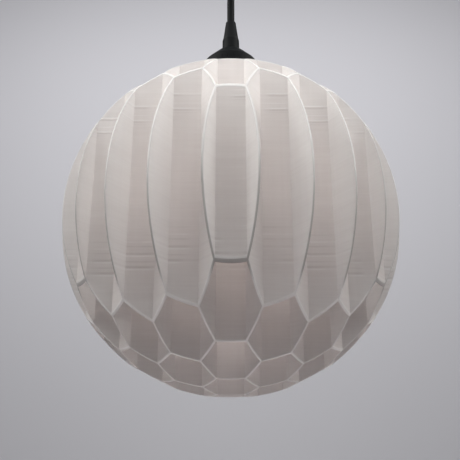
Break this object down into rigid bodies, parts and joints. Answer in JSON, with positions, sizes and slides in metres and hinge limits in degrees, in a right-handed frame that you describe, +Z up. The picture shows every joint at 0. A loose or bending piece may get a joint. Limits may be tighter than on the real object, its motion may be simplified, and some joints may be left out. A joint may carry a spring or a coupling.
{
  "type": "pendant lamp",
  "caption": "Pendant lamp: printed ball shade of upright honeycomb cells on a screw lampholder, hung by a black cord from a ceiling canopy.",
  "frame": {"origin": "centre of the ceiling bracket's top face, midway between its two screw holes", "axes": "+Z up into the ceiling, the lamp hangs along -Z; +X along the bracket; -Y towards the viewer"},
  "size_m": [0.2482, 0.248, 0.3981],
  "materials": {
    "shade_print": "translucent off-white 3-D print with fine layer lines",
    "plate_print": "off-white 3-D print with fine layer lines",
    "black_plastic": "satin moulded plastic",
    "black_rubber": "satin flexible moulding",
    "cord_sheath": "smooth cable sheath",
    "porcelain": "glazed",
    "contact_brass": "bright",
    "steel": "zinc plated",
    "zinc_steel": "zinc plated",
    "wire_brown": "insulation",
    "wire_blue": "insulation",
    "solder": "tinned",
    "bulb_glass": "dark insulator",
    "bulb_shell": "rolled",
    "bulb_plastic": "smooth",
    "bulb_opal": "opal diffuser",
    "board_white": "white solder mask on aluminium",
    "led_yellow": "phosphor",
    "board_green": "circuit board with parts",
    "retainer_plastic": "moulded",
    "strip_plastic": "moulded"
  },
  "bodies": {
    "ceiling": {"ceiling_bracket": "zinc_steel", "canopy_screws": "steel"},
    "canopy": {"canopy": "black_plastic", "ball_retainer": "retainer_plastic", "terminal_strip": "strip_plastic", "strip_screws": "steel", "feed_wire_live": "wire_brown", "feed_wire_neutral": "wire_blue"},
    "swivel": {"swivel_ball": "black_plastic"},
    "cord": {"cord": "cord_sheath"},
    "holder": {"strain_relief": "black_rubber", "grip_nut": "black_plastic", "holder_cap": "black_plastic", "holder_sleeve": "black_plastic", "holder_insert": "porcelain", "screw_shell": "contact_brass", "centre_contact": "contact_brass", "terminal_blocks": "contact_brass", "terminal_screws": "steel", "live_wire": "wire_brown", "neutral_wire": "wire_blue"},
    "plate": {"holder_plate": "plate_print"},
    "ring": {"shade_ring": "black_plastic"},
    "shade": {"honeycomb_shade": "shade_print", "shade_collar": "shade_print"},
    "bulb_slide": {"bulb_tip": "solder"},
    "bulb": {"bulb_cap": "bulb_shell", "bulb_insulator": "bulb_glass", "bulb_housing": "bulb_plastic", "bulb_globe": "bulb_opal", "led_board": "board_white", "led_chips": "led_yellow", "driver_board": "board_green"}
  },
  "joints": [
    {"name": "canopy_drop", "type": "slide", "parent": "ceiling", "child": "canopy", "axis": [0, 0, 1], "range_m": [-0.03, 0]},
    {"name": "swing_front", "type": "hinge", "parent": "canopy", "child": "swivel", "pos_m": [0, 0, -0.044], "axis": [1, 0, 0], "range_deg": [-12, 12]},
    {"name": "swing_side", "type": "hinge", "parent": "swivel", "child": "cord", "pos_m": [0, 0, -0.044], "axis": [0, 1, 0], "range_deg": [-12, 12]},
    {"name": "lamp_turn", "type": "hinge", "parent": "cord", "child": "holder", "pos_m": [0, 0, -0.088], "axis": [0, 0, 1], "range_deg": [-90, 90]},
    {"name": "ring_travel", "type": "slide", "parent": "holder", "child": "plate", "axis": [0, 0, 1], "range_m": [-0.01, 0]},
    {"name": "ring_turn", "type": "hinge", "parent": "plate", "child": "ring", "pos_m": [0, 0, -0.158], "axis": [0, 0, 1], "range_deg": [-1440, 0]},
    {"name": "shade_twist", "type": "hinge", "parent": "plate", "child": "shade", "pos_m": [0, 0, -0.17], "axis": [0, 0, 1], "range_deg": [0, 60]},
    {"name": "bulb_travel", "type": "slide", "parent": "holder", "child": "bulb_slide", "axis": [0, 0, 1], "range_m": [-0.01452, 0]},
    {"name": "bulb_turn", "type": "hinge", "parent": "bulb_slide", "child": "bulb", "pos_m": [0, 0, -0.164], "axis": [0, 0, 1], "range_deg": [-1440, 0]}
  ],
  "couplings": [
    {"joint": "ring_turn", "follows": "ring_travel", "rad_per_m": 2513.3},
    {"joint": "bulb_turn", "follows": "bulb_travel", "rad_per_m": 1730.9}
  ]
}
